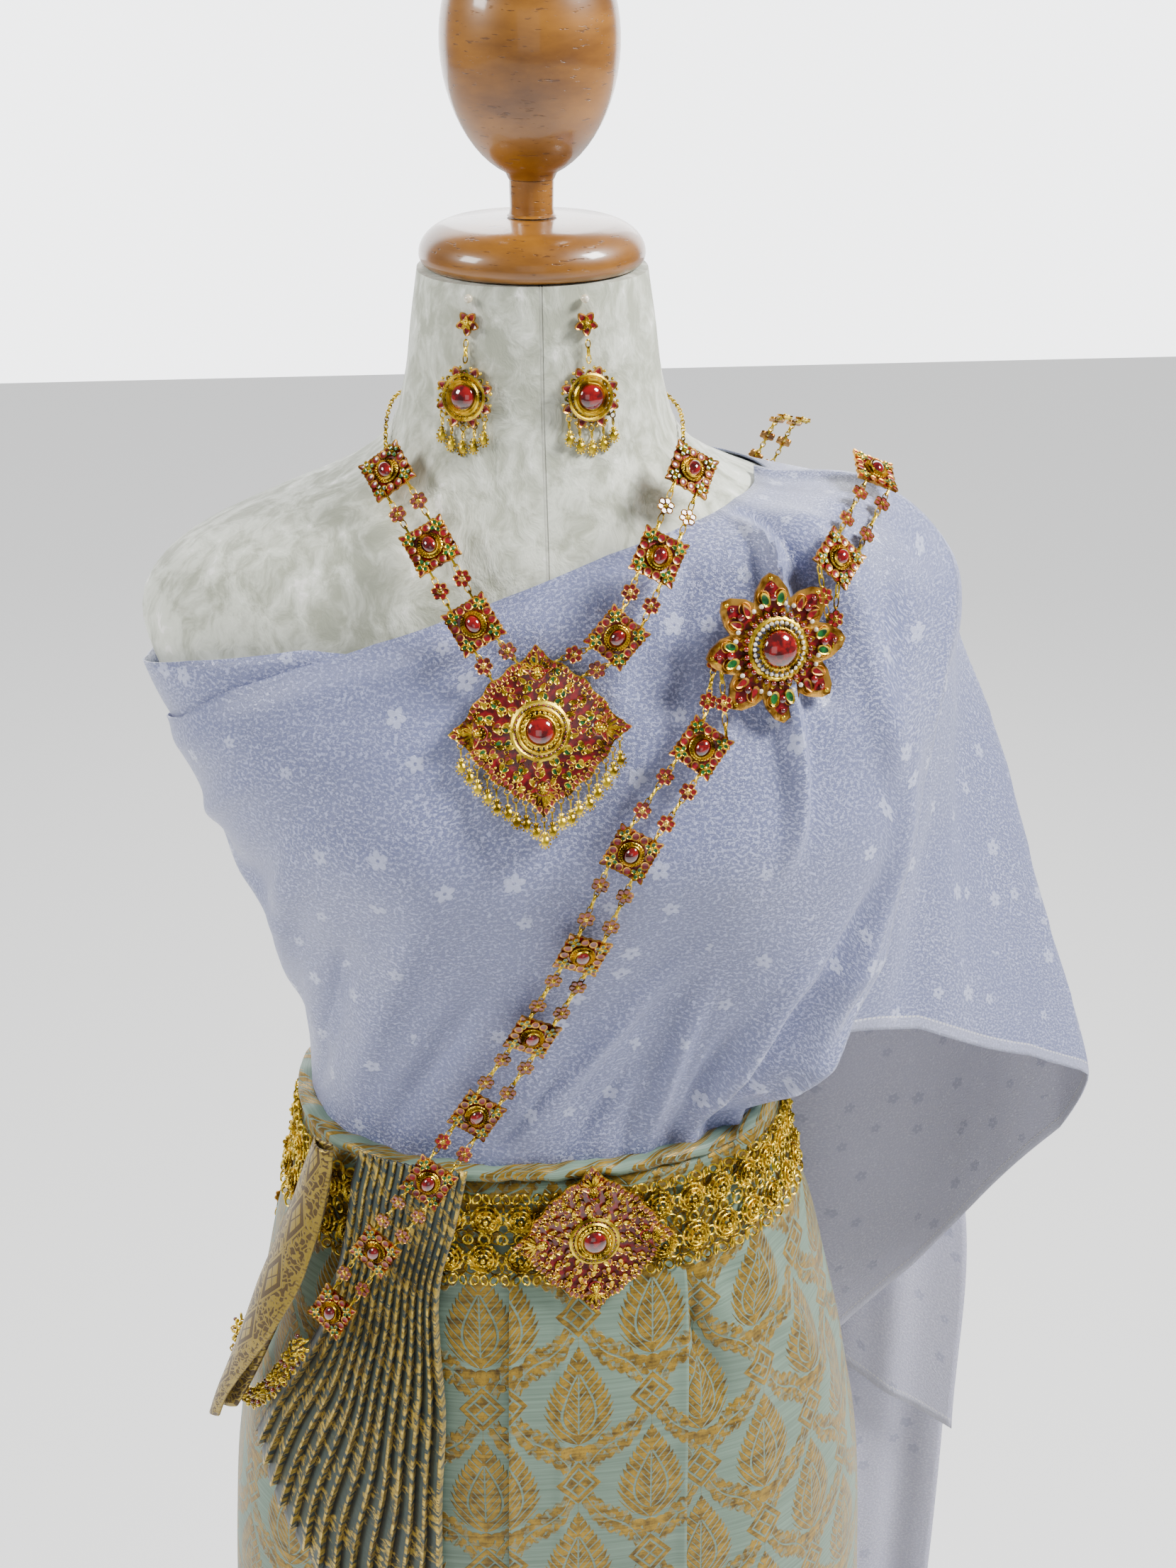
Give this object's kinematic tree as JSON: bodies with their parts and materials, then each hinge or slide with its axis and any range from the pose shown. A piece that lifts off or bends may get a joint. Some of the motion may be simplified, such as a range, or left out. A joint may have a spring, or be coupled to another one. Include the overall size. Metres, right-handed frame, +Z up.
{
  "type": "chut thai dress on a limbless dress form",
  "caption": "Thai ceremonial dress: draped satin shawl, brocade skirt with front pleats, gilt belt, chains and ear drops, standing on a limbless dress form",
  "frame": {"origin": "centre of the flat underside of the round stand base, on the floor", "axes": "+Z up, the front of the dress faces -Y, +X is to the right of someone facing the front"},
  "size_m": [0.5369, 0.3288, 1.6289],
  "materials": {
    "satin": "lavender satin jacquard with small woven flowers",
    "brocade": "mint ground with gold lattice brocade",
    "border": "ochre and pale gold woven border",
    "gilt": "bright gold-plated filigree",
    "enamel": "gold plate with dark red and green enamel",
    "stone": "polished ruby-red cabochon",
    "velvet": "crushed ivory velvet",
    "wood": "clear-varnished turned hardwood",
    "stand": "satin dark enamel"
  },
  "bodies": {
    "root": {"belt_band": "gilt", "belt_buckle": "enamel", "buckle_stone": "stone", "earring_disc_left": "enamel", "earring_disc_right": "enamel", "earring_drops_left": "gilt", "earring_drops_right": "gilt", "earring_pin_left": "gilt", "earring_pin_right": "gilt", "earring_stud_left": "enamel", "earring_stud_right": "enamel", "finial_egg": "wood", "finial_stem": "wood", "form_torso": "velvet", "neck_cap": "wood", "necklace_chain_left": "gilt", "necklace_chain_right": "gilt", "necklace_pendant": "enamel", "necklace_plaque_left_1": "enamel", "necklace_plaque_left_2": "enamel", "necklace_plaque_left_3": "enamel", "necklace_plaque_right_1": "enamel", "necklace_plaque_right_2": "enamel", "necklace_plaque_right_3": "enamel", "necklace_rope": "gilt", "pendant_drops": "gilt", "pendant_stone": "stone", "sabai_front_drape": "satin", "sabai_shoulder_cape": "satin", "sabai_tail": "satin", "sabai_tail_under": "satin", "sabai_under_wrap": "satin", "sangwan_chain_back": "gilt", "sangwan_chain_front": "gilt", "sangwan_chain_hip": "gilt", "sangwan_plaque_01": "enamel", "sangwan_plaque_02": "enamel", "sangwan_plaque_03": "enamel", "sangwan_plaque_04": "enamel", "sangwan_plaque_05": "enamel", "sangwan_plaque_06": "enamel", "sangwan_plaque_07": "enamel", "sangwan_plaque_08": "enamel", "sangwan_plaque_09": "enamel", "sangwan_plaque_10": "enamel", "sangwan_star": "enamel", "skirt_border_flap": "border", "skirt_front_panel": "brocade", "skirt_front_pleats": "brocade", "skirt_waist_roll": "brocade", "skirt_wrap": "brocade", "stand_base": "stand", "stand_pole": "stand", "star_stone": "stone"}
  },
  "joints": []
}
